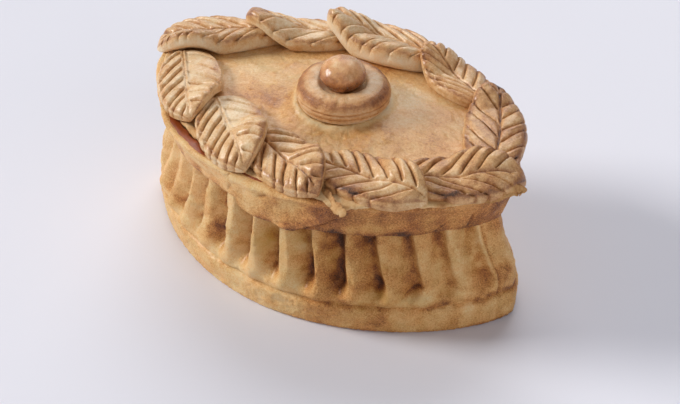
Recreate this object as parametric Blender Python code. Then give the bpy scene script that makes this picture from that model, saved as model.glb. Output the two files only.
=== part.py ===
"""A raised goose pie: a pointed oval case with fluted walls, a domed lid and a border of pastry leaves.

The case stands with its flat base on Z = 0 and its long axis along X. Lengths are in metres.
"""
import math

import bmesh
import bpy
import numpy as np
from mathutils import Vector
from mathutils.bvhtree import BVHTree

MM = 0.001

# The pointed oval that every level of the case follows: y = W * (1 - |x / L| ** POWER) ** FULLNESS.
OVAL_POWER = 1.92
OVAL_FULLNESS = 0.70

# Case: heights of its bands, and the half length and half width of each level.
FOOT_TOP = 15.7 * MM
CORNICE_FOOT = 59.5 * MM
RIM_TOP = 79.3 * MM
RECESS_FLOOR = 73.3 * MM
REFERENCE_LEVEL = (107 * MM, 67 * MM)
RECESS_HALF = (102.4 * MM, 63.6 * MM)
RECESS_TAPER = 0.4 * MM

# Flutes: hollow niches between narrow upright ridges, with a post at each tip of the oval.
FLUTES_A_SIDE = 14
FLUTE_DEPTH = 4.6 * MM
NICHE_POWER = 0.55
NEAR_POST = 11 * MM
FAR_POST = 7 * MM
STEPS_A_FLUTE = 4
STEPS_A_POST = 2

# Lid: it lies in the recess of the rim, with a gravy channel open at the near left.
TOUCH_GAP = 0.4 * MM
LID_GAP = 0.6 * MM
LID_EDGE_TOP = 78.6 * MM
LID_RISE = 7.0 * MM
LID_RISE_POWER = 0.75
MOUND_RISE = 2.5 * MM
MOUND_RADIUS = 30 * MM
CHANNEL_WIDTH = 3.4 * MM
CHANNEL_SHARE = 0.615
CHANNEL_SPREAD = 0.045

# Rosette and knob, a little off the middle of the lid.
ORNAMENT_CENTRE = Vector((4 * MM, 4.6 * MM, 0))
ROSETTE_RADIUS = 23.5 * MM
ROSETTE_TOP = 97.8 * MM
KNOB_RADIUS = 11.6 * MM
KNOB_HALF_HEIGHT = 8.4 * MM
KNOB_MIDDLE = 102.5 * MM

# Leaves: how they lie over the crust and over each other.
LEAF_LENS_POWER = 2.2
LEAF_LENS_FULLNESS = 0.72
LEAF_END_POWER = 5
LEAF_EDGE_SQUARENESS = 0.7
LEAF_SAMPLES = (37, 19)
DOUGH_SLOPE = 0.55
OVERHANG_SPREAD = 0.6 * REFERENCE_LEVEL[1]
OVERHANG_DROOP = 0.12
LEAF_GAP = 0.5 * MM
LEAF_RAISE = 0.1 * MM
ABOVE_ALL = 200 * MM

# Faces round and along each piece, and the distances its construction uses.
LID_STEPS = 48
ROSETTE_STEPS = 36
KNOB_STEPS = 24
KNOB_ROWS = 9
LEAF_STEPS = 14
LEAF_ROWS = 12
ARC_SAMPLES = 4001
TURN_NUDGE = 0.02
POLE_MERGE = 0.1 * MM

# Baked colours (linear) and roughness of each kind of piece.
CASE_FINISH = ((0.55, 0.33, 0.14), 0.62)
LID_FINISH = ((0.60, 0.37, 0.17), 0.5)
ROSETTE_FINISH = ((0.52, 0.28, 0.12), 0.4)
KNOB_FINISH = ((0.45, 0.21, 0.08), 0.3)
LEAF_FINISH = ((0.58, 0.34, 0.15), 0.5)


def oval_point(half_length, half_width, turn):
    """Point of the pointed oval at an angle, with its tips on the X axis."""
    along = math.cos(turn)
    across = (1 - abs(along) ** OVAL_POWER) ** OVAL_FULLNESS
    return Vector((half_length * along, half_width * math.copysign(across, math.sin(turn)), 0))


def oval_normal(half_length, half_width, turn):
    """Level direction that points out of the oval at an angle."""
    before = oval_point(half_length, half_width, turn - TURN_NUDGE)
    after = oval_point(half_length, half_width, turn + TURN_NUDGE)
    along = after - before
    return Vector((along.y, -along.x, 0)).normalized()


def oval_measure(x, y, half_length, half_width):
    """0 in the middle of the oval, 1 on its outline, and more outside."""
    return abs(x / half_length) ** OVAL_POWER + (abs(y) / half_width) ** (1 / OVAL_FULLNESS)


def arc_table():
    """Angles of the reference oval and the length of outline passed at each."""
    turns = np.linspace(0, 2 * math.pi, ARC_SAMPLES)
    points = np.array([oval_point(*REFERENCE_LEVEL, turn)[:2] for turn in turns])
    steps = np.hypot(*np.diff(points, axis=0).T)
    return turns, np.concatenate([[0], np.cumsum(steps)])


TURNS, ARCS = arc_table()
SIDE_ARC = ARCS[-1] / 2
FLUTE_PITCH = (SIDE_ARC - NEAR_POST - FAR_POST) / FLUTES_A_SIDE


def turn_at(arc):
    """Angle of the oval after a length of its outline, from the +X tip anticlockwise."""
    return float(np.interp(arc % ARCS[-1], ARCS, TURNS))


def spun_shell(name, rows, steps, place):
    """Closed body: a strip of rows spun about Z, each point then moved to place(share, row)."""
    mesh = bmesh.new()
    radii = [0.0] + [1.0] * (rows - 2) + [0.0]
    strip = [mesh.verts.new((radius, 0, row)) for row, radius in enumerate(radii)]
    edges = [mesh.edges.new(pair) for pair in zip(strip, strip[1:])]
    bmesh.ops.spin(mesh, geom=strip + edges, axis=(0, 0, 1), cent=(0, 0, 0), steps=steps,
                   angle=2 * math.pi, use_merge=True)
    bmesh.ops.remove_doubles(mesh, verts=mesh.verts, dist=POLE_MERGE)
    for vert in mesh.verts:
        share = (math.atan2(vert.co.y, vert.co.x) / (2 * math.pi)) % 1.0
        vert.co = place(share, round(vert.co.z))
    bmesh.ops.triangulate(mesh, faces=mesh.faces)
    bmesh.ops.recalc_face_normals(mesh, faces=mesh.faces)
    data = bpy.data.meshes.new(name)
    mesh.to_mesh(data)
    mesh.free()
    data.shade_smooth()
    body = bpy.data.objects.new(name, data)
    bpy.context.scene.collection.objects.link(body)
    return body


def finish(body, look):
    """Give the body a baked pastry material of its own: colour and roughness."""
    colour, roughness = look
    material = bpy.data.materials.new(body.name + "_crust")
    material.use_nodes = True
    shader = material.node_tree.nodes["Principled BSDF"]
    shader.inputs["Base Color"].default_value = (*colour, 1)
    shader.inputs["Roughness"].default_value = roughness
    shader.inputs["Metallic"].default_value = 0
    body.data.materials.append(material)
    return body


# Case

def case_levels():
    """Rows of the case from under its base to the recess floor: height, half length, half width, niche."""
    recess_length, recess_width = RECESS_HALF
    return [
        (0, 0, 0, 0),
        (0, 108.6 * MM, 65.8 * MM, 0),
        (1.6 * MM, 110 * MM, 66.9 * MM, 0),
        (8 * MM, 110.3 * MM, 67.8 * MM, 0),
        (14.2 * MM, 110 * MM, 68.5 * MM, 0),
        (FOOT_TOP, 108.4 * MM, 67.2 * MM, 0),
        (19 * MM, 109.4 * MM, 67.6 * MM, 0),
        (24 * MM, 110 * MM, 68 * MM, 0.2),
        (30 * MM, 109.3 * MM, 67.4 * MM, 0.8),
        (38 * MM, 106.3 * MM, 66.3 * MM, 1),
        (49 * MM, 101.6 * MM, 65 * MM, 1),
        (CORNICE_FOOT - 0.7 * MM, 99 * MM, 64.4 * MM, 0.9),
        (CORNICE_FOOT, 99.9 * MM, 66 * MM, 0),
        (63 * MM, 101.3 * MM, 66.9 * MM, 0),
        (77.6 * MM, 107.2 * MM, 68.4 * MM, 0),
        (RIM_TOP, 106 * MM, 67.3 * MM, 0),
        (RIM_TOP, recess_length, recess_width, 0),
        (RECESS_FLOOR, recess_length - RECESS_TAPER, recess_width - RECESS_TAPER, 0),
        (RECESS_FLOOR, 0, 0, 0),
    ]


def side_steps():
    """Lengths along one side of the oval, from the +X tip, where the case has a column of points."""
    near_post = [NEAR_POST * step / STEPS_A_POST for step in range(STEPS_A_POST)]
    fluted = [NEAR_POST + FLUTE_PITCH * step / STEPS_A_FLUTE
              for step in range(FLUTES_A_SIDE * STEPS_A_FLUTE)]
    far_post = [SIDE_ARC - FAR_POST * (1 - step / STEPS_A_POST) for step in range(STEPS_A_POST)]
    return near_post + fluted + far_post


def niche_depth(along):
    """How deep the flutes go at a length along a side: 0 on a ridge or a post, 1 in a niche."""
    if along <= NEAR_POST or along >= SIDE_ARC - FAR_POST:
        return 0.0
    swing = 0.5 - 0.5 * math.cos(2 * math.pi * (along - NEAR_POST) / FLUTE_PITCH)
    return swing ** NICHE_POWER


def make_case():
    """Foot band, fluted wall, flared cornice and the shallow recess that holds the lid."""
    levels = case_levels()
    alongs = side_steps()
    arcs = [(arc, arc) for arc in alongs] + [(2 * SIDE_ARC - arc, arc) for arc in [SIDE_ARC] + alongs[:0:-1]]

    def place(share, row):
        height, half_length, half_width, niche = levels[row]
        arc, along = arcs[round(share * len(arcs)) % len(arcs)]
        turn = turn_at(arc)
        if half_length == 0:
            return Vector((0, 0, height))
        depth = FLUTE_DEPTH * niche * niche_depth(along)
        point = oval_point(half_length, half_width, turn) - oval_normal(*REFERENCE_LEVEL, turn) * depth
        return point + Vector((0, 0, height))

    return finish(spun_shell("pie_case", len(levels), len(arcs), place), CASE_FINISH)


# Lid

def lid_height(x, y):
    """Height of the lid's upper face, which the leaves and the rosette lie on."""
    inside = max(0.0, 1 - oval_measure(x, y, *RECESS_HALF))
    off_centre = (Vector((x, y, 0)) - ORNAMENT_CENTRE).length
    mound = MOUND_RISE * math.exp(-(off_centre / MOUND_RADIUS) ** 2)
    return LID_EDGE_TOP + LID_RISE * inside ** LID_RISE_POWER + mound


def make_lid():
    """Domed lid inside the rim, pulled in from it where the gravy channel runs."""
    shares_of_edge = [
        (0, RECESS_FLOOR + TOUCH_GAP),
        (0.985, RECESS_FLOOR + TOUCH_GAP),
        (1, RECESS_FLOOR + 2 * MM),
        (1, LID_EDGE_TOP - 1.6 * MM),
        (0.985, None), (0.93, None), (0.84, None), (0.7, None), (0.52, None), (0.34, None),
        (0.17, None), (0, None),
    ]

    def place(share, row):
        scale, height = shares_of_edge[row]
        turn = turn_at(share * ARCS[-1])
        off_channel = (share - CHANNEL_SHARE) / CHANNEL_SPREAD
        gap = LID_GAP + CHANNEL_WIDTH * math.exp(-off_channel ** 4)
        edge = oval_point(RECESS_HALF[0] - LID_GAP, RECESS_HALF[1] - LID_GAP, turn)
        edge -= oval_normal(*REFERENCE_LEVEL, turn) * gap
        point = edge * scale
        point.z = lid_height(point.x, point.y) if height is None else height
        return point

    return finish(spun_shell("lid", len(shares_of_edge), LID_STEPS, place), LID_FINISH)


# Rosette and knob

def make_rosette():
    """Thick round of pastry with rounded edges and a level top that the knob stands on."""
    rows = [
        (0, None), (20.5 * MM, None), (23 * MM, 91 * MM), (ROSETTE_RADIUS, 93.4 * MM),
        (22.3 * MM, 96.2 * MM), (19 * MM, ROSETTE_TOP), (0, ROSETTE_TOP),
    ]

    def place(share, row):
        radius, height = rows[row]
        turn = 2 * math.pi * share
        point = ORNAMENT_CENTRE + Vector((math.cos(turn), math.sin(turn), 0)) * radius
        point.z = lid_height(point.x, point.y) + TOUCH_GAP if height is None else height
        return point

    return finish(spun_shell("rosette", len(rows), ROSETTE_STEPS, place), ROSETTE_FINISH)


def make_knob():
    """Slightly flattened ball of pastry, cut level where it stands on the rosette."""
    foot = ROSETTE_TOP + TOUCH_GAP
    lowest_tilt = math.asin((foot - KNOB_MIDDLE) / KNOB_HALF_HEIGHT)

    def place(share, row):
        if row == 0:
            return ORNAMENT_CENTRE + Vector((0, 0, foot))
        tilt = lowest_tilt + (math.pi / 2 - lowest_tilt) * (row - 1) / (KNOB_ROWS - 2)
        turn = 2 * math.pi * share
        around = Vector((math.cos(turn), math.sin(turn), 0)) * KNOB_RADIUS * math.cos(tilt)
        return ORNAMENT_CENTRE + around + Vector((0, 0, KNOB_MIDDLE + KNOB_HALF_HEIGHT * math.sin(tilt)))

    return finish(spun_shell("knob", KNOB_ROWS, KNOB_STEPS, place), KNOB_FINISH)


# Leaves

class Leaf:
    """One pastry leaf: ends of its midrib, half widths outside and inside, thickness, bend, widest place."""

    def __init__(self, base, tip, outer, inner, thickness, bend=0.0, widest=0.5):
        self.base = Vector((*base, 0)) * MM
        self.tip = Vector((*tip, 0)) * MM
        along = (self.tip - self.base).normalized()
        self.across = Vector((along.y, -along.x, 0))
        if self.across.dot(self.base + self.tip) < 0:
            self.across = -self.across
        self.outer = outer * MM
        self.inner = inner * MM
        self.thickness = thickness * MM
        self.bend = bend * MM
        self.skew = math.log(0.5) / math.log(widest)

    def plan_point(self, along, side):
        """Level place at a share of the length and a share of the half width, outside positive."""
        lens = max(0.0, 1 - abs(2 * along ** self.skew - 1) ** LEAF_LENS_POWER) ** LEAF_LENS_FULLNESS
        reach = (self.outer if side > 0 else self.inner) * side * lens
        bow = self.bend * 4 * along * (1 - along)
        return self.base.lerp(self.tip, along) + self.across * (bow + reach)

    def thickness_at(self, along):
        """Thickness on the midrib, rounded off at both ends."""
        return self.thickness * max(0.0, 1 - abs(2 * along - 1) ** LEAF_END_POWER) ** 0.5


# Round the rim, each over one end of the leaf before it: midrib ends (x, y), half widths, thickness, bend.
LEAVES = [
    Leaf((82, -38), (18, -45), 15, 16, 8.5, 1),
    Leaf((-20, -42), (36, -62), 14, 16, 8),
    Leaf((-54, -27), (-4, -67), 15.5, 19, 8),
    Leaf((-96, 0), (-51, -50), 14.5, 19, 8),
    Leaf((-58, 38), (-112, -2), 18.5, 16.5, 11, 1, widest=0.6),
    Leaf((-24, 61), (-78, 32), 15, 16, 9),
    Leaf((24, 63), (-42, 56), 17, 17, 12, 1),
    Leaf((64, 46), (14, 66), 15, 14.5, 8.5),
    Leaf((98, -9), (61, 60), 13.5, 18, 8.5, 3),
    Leaf((58, -33), (111, 4), 13, 15.5, 8, 3),
]


def crust_height(x, y):
    """Height of what a leaf lies on: the lid, the rim's top, and a slight droop beyond the rim."""
    measure = oval_measure(x, y, *REFERENCE_LEVEL)
    beyond = max(0.0, measure - 1) * OVERHANG_SPREAD
    return max(lid_height(x, y), RIM_TOP) - OVERHANG_DROOP * beyond


def laid_heights(leaf, under):
    """Heights of the leaf's underside over a net of (along, side) samples, bridging what is under it."""
    alongs = np.linspace(0, 1, LEAF_SAMPLES[0])
    sides = np.linspace(-1, 1, LEAF_SAMPLES[1])
    points = [leaf.plan_point(along, side) for along in alongs for side in sides]
    lowest = []
    for point in points:
        height = crust_height(point.x, point.y)
        if under is not None:
            hit = under.ray_cast(point + Vector((0, 0, ABOVE_ALL)), Vector((0, 0, -1)))[0]
            height = max(height, hit.z) if hit else height
        lowest.append(height)
    plan = np.array([point[:2] for point in points])
    apart = np.hypot(plan[:, None, 0] - plan[None, :, 0], plan[:, None, 1] - plan[None, :, 1])
    bridged = (np.array(lowest)[None, :] - DOUGH_SLOPE * apart).max(axis=1)
    return alongs, sides, bridged.reshape(LEAF_SAMPLES)


def net_value(net, along, side):
    """Height of the sample net at any place between its samples."""
    alongs, sides, heights = net
    rows = [np.interp(side, sides, row) for row in heights]
    return float(np.interp(along, alongs, rows))


def make_leaf(name, leaf, under):
    """Puffed leaf laid over the crust and over the body under it, if any."""
    net = laid_heights(leaf, under)

    def place(share, row):
        along = 0.5 - 0.5 * math.cos(math.pi * row / (LEAF_ROWS - 1))
        turn = 2 * math.pi * share
        side = math.copysign(abs(math.cos(turn)) ** LEAF_EDGE_SQUARENESS, math.cos(turn))
        rise = math.copysign(abs(math.sin(turn)) ** LEAF_EDGE_SQUARENESS, math.sin(turn))
        point = leaf.plan_point(along, side)
        point.z = net_value(net, along, side) + LEAF_GAP + leaf.thickness_at(along) * (0.5 + 0.5 * rise)
        return point

    body = spun_shell(name, LEAF_ROWS, LEAF_STEPS, place)
    while under is not None and surface_of(body).overlap(under):
        for vert in body.data.vertices:
            vert.co.z += LEAF_RAISE
    return body


def surface_of(body):
    """Search tree of a body's faces."""
    mesh = bmesh.new()
    mesh.from_mesh(body.data)
    tree = BVHTree.FromBMesh(mesh)
    mesh.free()
    return tree


def make_leaves():
    """The border: every leaf overlaps the one before it, and the first overlaps the last."""
    under = None
    for leaf in LEAVES:
        draft = make_leaf("draft", leaf, under)
        under = surface_of(draft)
        bpy.data.objects.remove(draft)
    for number, leaf in enumerate(LEAVES, start=1):
        body = finish(make_leaf(f"leaf_{number:02d}", leaf, under), LEAF_FINISH)
        under = surface_of(body)


def main():
    """Clear the scene and build every piece."""
    for old in list(bpy.data.objects):
        bpy.data.objects.remove(old)
    make_case()
    make_lid()
    make_rosette()
    make_knob()
    make_leaves()


main()
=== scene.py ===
import math

import bmesh
import bpy
import numpy as np
from mathutils import Matrix, Vector, noise
from mathutils.bvhtree import BVHTree


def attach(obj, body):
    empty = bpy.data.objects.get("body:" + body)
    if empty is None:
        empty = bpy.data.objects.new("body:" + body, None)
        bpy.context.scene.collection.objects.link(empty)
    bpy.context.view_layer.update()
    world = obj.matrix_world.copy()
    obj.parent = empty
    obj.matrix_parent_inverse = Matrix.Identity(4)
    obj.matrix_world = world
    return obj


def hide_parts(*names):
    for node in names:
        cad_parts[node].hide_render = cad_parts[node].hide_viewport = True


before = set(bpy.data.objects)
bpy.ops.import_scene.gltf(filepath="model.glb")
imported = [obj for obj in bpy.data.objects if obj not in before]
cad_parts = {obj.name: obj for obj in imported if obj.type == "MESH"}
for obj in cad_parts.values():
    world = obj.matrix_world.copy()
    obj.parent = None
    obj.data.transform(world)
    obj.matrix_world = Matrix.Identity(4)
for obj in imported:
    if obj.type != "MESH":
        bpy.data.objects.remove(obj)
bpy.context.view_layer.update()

bl_info = {
    "name": "Raised goose pie",
    "version": (1, 0, 0),
    "blender": (4, 5, 0),
    "location": "View3D > Sidebar > Pie",
    "description": "Models a raised goose pie with fluted walls, a domed lid and a border of pastry leaves",
    "category": "Add Mesh",
}

MM = 0.001

# Shapes are worked out in millimetres and written to the meshes in metres.
# The pointed oval that every level of the case follows: y = W * (1 - |x / L| ** POWER) ** FULLNESS.
OVAL_POWER = 1.92
OVAL_FULLNESS = 0.70
REFERENCE_LEVEL = (107.0, 67.0)
TURN_NUDGE = 0.02
ARC_SAMPLES = 4001

FOOT_TOP = 15.7
CORNICE_FOOT = 59.5
RIM_TOP = 79.3
RECESS_FLOOR = 73.3
RECESS_HALF = (102.4, 63.6)
FLUTES_A_SIDE = 14
NEAR_POST = 11.0
FAR_POST = 7.0

LID_GAP = 0.3
LID_EDGE_TOP = 78.6
LID_RISE = 7.0
LID_RISE_POWER = 0.75
MOUND_RISE = 2.5
MOUND_RADIUS = 30.0
CHANNEL_WIDTH = 3.4
CHANNEL_SHARE = 0.615
CHANNEL_SPREAD = 0.045

ORNAMENT_CENTRE = np.array((4.0, 4.6))
ROSETTE_RADIUS = 23.5
KNOB_RADIUS = 11.6
KNOB_HALF_HEIGHT = 8.4
KNOB_MIDDLE = 102.5
ROSETTE_COLUMNS = 260
KNOB_GRID = (90, 150)

LEAF_LENS_POWER = 2.2
LEAF_LENS_FULLNESS = 0.72
LEAF_END_POWER = 5
LEAF_SAMPLES = (37, 19)
RIB_PHASE = 0.3
DOUGH_SLOPE = 0.55
OVERHANG_SPREAD = 0.6 * REFERENCE_LEVEL[1]
OVERHANG_DROOP = 0.12
# Height in metres, above the whole pie, that rays start from.
RAY_START = 0.2

# What each point of a mesh stores for its material: browning, which in places also carries painted shade, fat
# soaked through, and egg glaze.
TRAITS = ("bake_and_shade", "soak", "glaze")


# Small tools for numbers and shapes

def smooth(low, high, value):
    """0 below low, 1 above high, and an even curve between them."""
    share = np.clip((value - low) / (high - low), 0, 1)
    return share * share * (3 - 2 * share)


def hump(value, middle, width):
    """1 at the middle, fading to 0 about twice the width away."""
    return np.exp(-((value - middle) / width) ** 2)


def lumps(points, size, seed=0, octaves=3):
    """Uneven heights from about -1 to 1 at points, with lumps of a size in mm."""
    shift = Vector((17.3 * seed, 5.1 * seed, -9.7 * seed))
    return np.array([noise.fractal(Vector(point) / size + shift, 1.0, 2.0, octaves)
                     for point in points.tolist()])


def oval(half_length, half_width, turns):
    """Points of the pointed oval at angles, with its tips on the X axis."""
    along = np.cos(turns)
    across = np.maximum(0, 1 - np.abs(along) ** OVAL_POWER) ** OVAL_FULLNESS
    return np.stack([half_length * along, half_width * np.copysign(across, np.sin(turns))], axis=-1)


def oval_outward(turns):
    """Level directions that point out of the reference oval at angles."""
    step = oval(*REFERENCE_LEVEL, turns + TURN_NUDGE) - oval(*REFERENCE_LEVEL, turns - TURN_NUDGE)
    outward = np.stack([step[:, 1], -step[:, 0]], axis=-1)
    return outward / np.linalg.norm(outward, axis=1)[:, None]


def oval_measure(x, y, half_length, half_width):
    """0 in the middle of the oval, 1 on its outline, and more outside."""
    return np.abs(x / half_length) ** OVAL_POWER + (np.abs(y) / half_width) ** (1 / OVAL_FULLNESS)


def arc_table():
    """Angles of the reference oval and the length of outline passed at each."""
    turns = np.linspace(0, 2 * math.pi, ARC_SAMPLES)
    steps = np.linalg.norm(np.diff(oval(*REFERENCE_LEVEL, turns), axis=0), axis=1)
    return turns, np.concatenate([[0], np.cumsum(steps)])


TURNS, ARCS = arc_table()
ROUND = ARCS[-1]
SIDE_ARC = ROUND / 2
FLUTE_PITCH = (SIDE_ARC - NEAR_POST - FAR_POST) / FLUTES_A_SIDE


def turn_at(arcs):
    """Angles of the oval after lengths of its outline, from the +X tip anticlockwise."""
    return np.interp(arcs % ROUND, ARCS, TURNS)


def lid_height(x, y):
    """Height of the lid's upper face."""
    inside = np.maximum(0, 1 - oval_measure(x, y, *RECESS_HALF))
    off_centre = np.hypot(x - ORNAMENT_CENTRE[0], y - ORNAMENT_CENTRE[1])
    return LID_EDGE_TOP + LID_RISE * inside ** LID_RISE_POWER + MOUND_RISE * hump(off_centre, 0, MOUND_RADIUS)


def shell_grid(rows, steps):
    """Closed skin of rows and steps from a spun strip: its mesh, and each point's row and share of a turn."""
    mesh = bmesh.new()
    radii = [0.0] + [1.0] * (rows - 2) + [0.0]
    strip = [mesh.verts.new((radius, 0, row)) for row, radius in enumerate(radii)]
    edges = [mesh.edges.new(pair) for pair in zip(strip, strip[1:])]
    bmesh.ops.spin(mesh, geom=strip + edges, axis=(0, 0, 1), cent=(0, 0, 0), steps=steps,
                   angle=2 * math.pi, use_merge=True)
    bmesh.ops.remove_doubles(mesh, verts=mesh.verts, dist=1e-4)
    places = np.array([vert.co[:] for vert in mesh.verts])
    row = np.rint(places[:, 2]).astype(int)
    share = (np.arctan2(places[:, 1], places[:, 0]) / (2 * math.pi)) % 1.0
    return mesh, row, share


def ring_grid(around, steps):
    """Closed ring from a spun circle: its mesh, and each point's share of the circle and of a turn."""
    mesh = bmesh.new()
    spoke = Matrix.Translation((2, 0, 0)) @ Matrix.Rotation(math.pi / 2, 4, "X")
    circle = bmesh.ops.create_circle(mesh, segments=around, radius=1, matrix=spoke)["verts"]
    bmesh.ops.spin(mesh, geom=circle + mesh.edges[:], axis=(0, 0, 1), cent=(0, 0, 0), steps=steps,
                   angle=2 * math.pi, use_merge=True)
    bmesh.ops.remove_doubles(mesh, verts=mesh.verts, dist=1e-4)
    places = np.array([vert.co[:] for vert in mesh.verts])
    radius = np.hypot(places[:, 0], places[:, 1])
    phase = (np.arctan2(places[:, 2], radius - 2) / (2 * math.pi)) % 1.0
    share = (np.arctan2(places[:, 1], places[:, 0]) / (2 * math.pi)) % 1.0
    return mesh, phase, share


def write_piece(name, mesh, points, traits, material, replaced=None):
    """Move the mesh's points to their places in mm, store their traits and put the piece in the scene."""
    for vert, point in zip(mesh.verts, (points * MM).tolist()):
        vert.co = point
    bmesh.ops.recalc_face_normals(mesh, faces=mesh.faces)
    data = bpy.data.meshes.new(name)
    mesh.to_mesh(data)
    mesh.free()
    for trait, values in zip(TRAITS, traits):
        layer = data.attributes.new(trait, "FLOAT", "POINT")
        each = np.zeros(len(points)) + values
        layer.data.foreach_set("value", np.clip(each, 0, 1).astype(np.float32))
    data.shade_smooth()
    data.materials.append(material)
    piece = bpy.data.objects.new(name, data)
    bpy.context.scene.collection.objects.link(piece)
    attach(piece, "root")
    if replaced:
        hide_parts(replaced)


# Materials

def linear(hex_colour):
    """Linear colour of an sRGB hex value."""
    shares = [int(hex_colour[start:start + 2], 16) / 255 for start in (1, 3, 5)]
    return [share / 12.92 if share <= 0.04045 else ((share + 0.055) / 1.055) ** 2.4 for share in shares]


def colour_property(name, description, hex_colour):
    """A colour that the user can change, given as an sRGB hex value."""
    return bpy.props.FloatVectorProperty(
        name=name, description=description, subtype="COLOR", size=3, min=0, max=1, default=linear(hex_colour))


def length_property(name, description, millimetres):
    """A length that the user can change, given in millimetres."""
    return bpy.props.FloatProperty(
        name=name, description=description, unit="LENGTH", min=0, precision=4, default=millimetres * MM)


def strength_property(name, description, strength):
    """Strength of a light that the user can change."""
    return bpy.props.FloatProperty(name=name, description=description, min=0, default=strength)


def count_property(name, description, lowest, count):
    """A number of points that the user can change."""
    return bpy.props.IntProperty(name=name, description=description, min=lowest, default=count)


def add_node(tree, kind, inputs=None, **settings):
    """A node with its settings, and its inputs as values or as links from other nodes' outputs."""
    node = tree.nodes.new(kind)
    for key, value in settings.items():
        setattr(node, key, value)
    for socket, value in (inputs or {}).items():
        if isinstance(value, bpy.types.NodeSocket):
            tree.links.new(value, node.inputs[socket])
        else:
            node.inputs[socket].default_value = value
    return node


def empty_material(name):
    """A new material: its node tree, and its Principled shader."""
    material = bpy.data.materials.new(name)
    material.use_nodes = True
    return material, material.node_tree, material.node_tree.nodes["Principled BSDF"]


def noise_fac(tree, place, size_mm, detail=3.0, roughness=0.55, distortion=0.0):
    """Output of a noise whose lumps have a size in mm."""
    return add_node(tree, "ShaderNodeTexNoise", {
        "Vector": place, "Scale": 1 / (size_mm * MM), "Detail": detail, "Roughness": roughness,
        "Distortion": distortion}).outputs["Fac"]


def mixed(tree, factor, first, second, blend_type="MIX"):
    """Output of a mix of two colours."""
    return add_node(tree, "ShaderNodeMix", {"Factor": factor, 6: first, 7: second}, data_type="RGBA",
                    blend_type=blend_type).outputs[2]


def add_bump(tree, shader, height, strength, height_mm):
    """Relief finer than the mesh, from an output with heights."""
    bumped = add_node(tree, "ShaderNodeBump", {
        "Height": height, "Strength": strength, "Distance": height_mm * MM})
    tree.links.new(bumped.outputs["Normal"], shader.inputs["Normal"])


def baked_pastry(name, look, patch_mm, patch_share, grain_mm, grain_share, grain_height_mm,
                 rough_matt, rough_glazed, coat, pale_tint, dark_tint, warm, cool):
    """Pastry coloured from raw dough to burnt by the browning each point stores, in places with painted shade
    added to it, broken up by patches and grain.
    """
    material, tree, shader = empty_material(name)
    place = add_node(tree, "ShaderNodeTexCoord").outputs["Object"]
    bake_and_shade, soak, glaze = [add_node(tree, "ShaderNodeAttribute", attribute_name=trait).outputs["Fac"]
                         for trait in TRAITS]
    patches = noise_fac(tree, place, patch_mm, 1.8, 0.5, 0.4)
    grain = noise_fac(tree, place, grain_mm, 2.5, 0.7)
    specks = noise_fac(tree, place, grain_mm * 0.35, 2.0, 0.6)

    def spread(value, share):
        return add_node(tree, "ShaderNodeMath", {0: value, 1: share * 2, 2: -share},
                        operation="MULTIPLY_ADD").outputs[0]

    def total(first, second):
        return add_node(tree, "ShaderNodeMath", {0: first, 1: second}, operation="ADD").outputs[0]

    browned = total(total(bake_and_shade, spread(patches, patch_share)),
                    total(spread(grain, grain_share), spread(specks, grain_share * 0.8)))
    ramp = add_node(tree, "ShaderNodeValToRGB", {"Fac": browned})
    shades = [(0.0, look.raw), (0.25, look.pale), (0.48, look.golden), (0.68, look.brown),
              (0.86, look.dark), (1.0, look.burnt)]
    elements = ramp.color_ramp.elements
    while len(elements) < len(shades):
        elements.new(0.5)
    for element, (position, colour) in zip(elements, shades):
        element.position = position
        # The pale tints run whiter and bluer than the dough: partly floury colour, partly a painted sheen of
        # the light on pale crust.
        tint = [pale + (dark - pale) * position for pale, dark in zip(pale_tint, dark_tint)]
        element.color = (*[channel * share for channel, share in zip(colour, tint)], 1)
    hue = add_node(tree, "ShaderNodeMapRange", {
        "Value": noise_fac(tree, place, patch_mm * 1.3, 3.0, 0.6, 0.6), "From Min": 0.35, "From Max": 0.65})
    tone = mixed(tree, hue.outputs["Result"], (*warm, 1), (*cool, 1))
    toned = mixed(tree, 1.0, ramp.outputs["Color"], tone, "MULTIPLY")
    soaked = mixed(tree, soak, toned, (*look.soaked, 1), "MULTIPLY")
    tree.links.new(soaked, shader.inputs["Base Color"])
    gloss = add_node(tree, "ShaderNodeMapRange", {
        "Value": glaze, "To Min": rough_matt, "To Max": rough_glazed}).outputs["Result"]
    uneven = total(gloss, spread(grain, 0.14))
    tree.links.new(uneven, shader.inputs["Roughness"])
    shader.inputs["IOR"].default_value = 1.45
    shader.inputs["Coat Weight"].default_value = coat
    shader.inputs["Coat Roughness"].default_value = 0.24
    add_bump(tree, shader, total(grain, specks), 0.8, grain_height_mm)
    return material


class BakeColours(bpy.types.PropertyGroup):
    """Colours of the pastry from raw dough to burnt, and of what has run out of it."""
    raw: colour_property("Raw", "Floury dough on cut sides", "#edd4a8")
    pale: colour_property("Pale", "Lightly baked dough", "#e3c08c")
    golden: colour_property("Golden", "Evenly baked crust", "#cd9c62")
    brown: colour_property("Brown", "Well browned crust", "#a97343")
    dark: colour_property("Dark", "Dark edges and tips", "#84532d")
    burnt: colour_property("Burnt", "Charred spots", "#4a2e1c")
    soaked: colour_property("Soaked", "Tint of crust that fat has soaked from inside", "#d2bc74")
    gravy: colour_property("Gravy", "Gravy that has boiled out and baked dry", "#a54e1e")


class CaseSizes(bpy.types.PropertyGroup):
    """Relief of the moulded case."""
    flute_depth: length_property("Flute depth", "How far the niches go in behind the ridges", 6.4)
    waist: length_property("Waist", "How far the far wall draws in beside the +X tip", 5.8)
    pedestal: length_property("Pedestal", "How far the foot of each ridge swells out", 2.5)
    seam_depth: length_property("Seam depth", "Depth of the seam above the foot band", 1.0)
    join_step: length_property("Join step", "Step where strips of the cornice overlap", 2.8)
    slump: length_property("Slump", "Height of the wide lumps in the wall", 0.7)
    sand: length_property("Sand", "Height of the sandy grain", 0.2)
    columns: count_property("Columns", "Points round the case", 100, 720)
    wall_rows: count_property("Wall rows", "Points up the wall", 30, 112)


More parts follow.
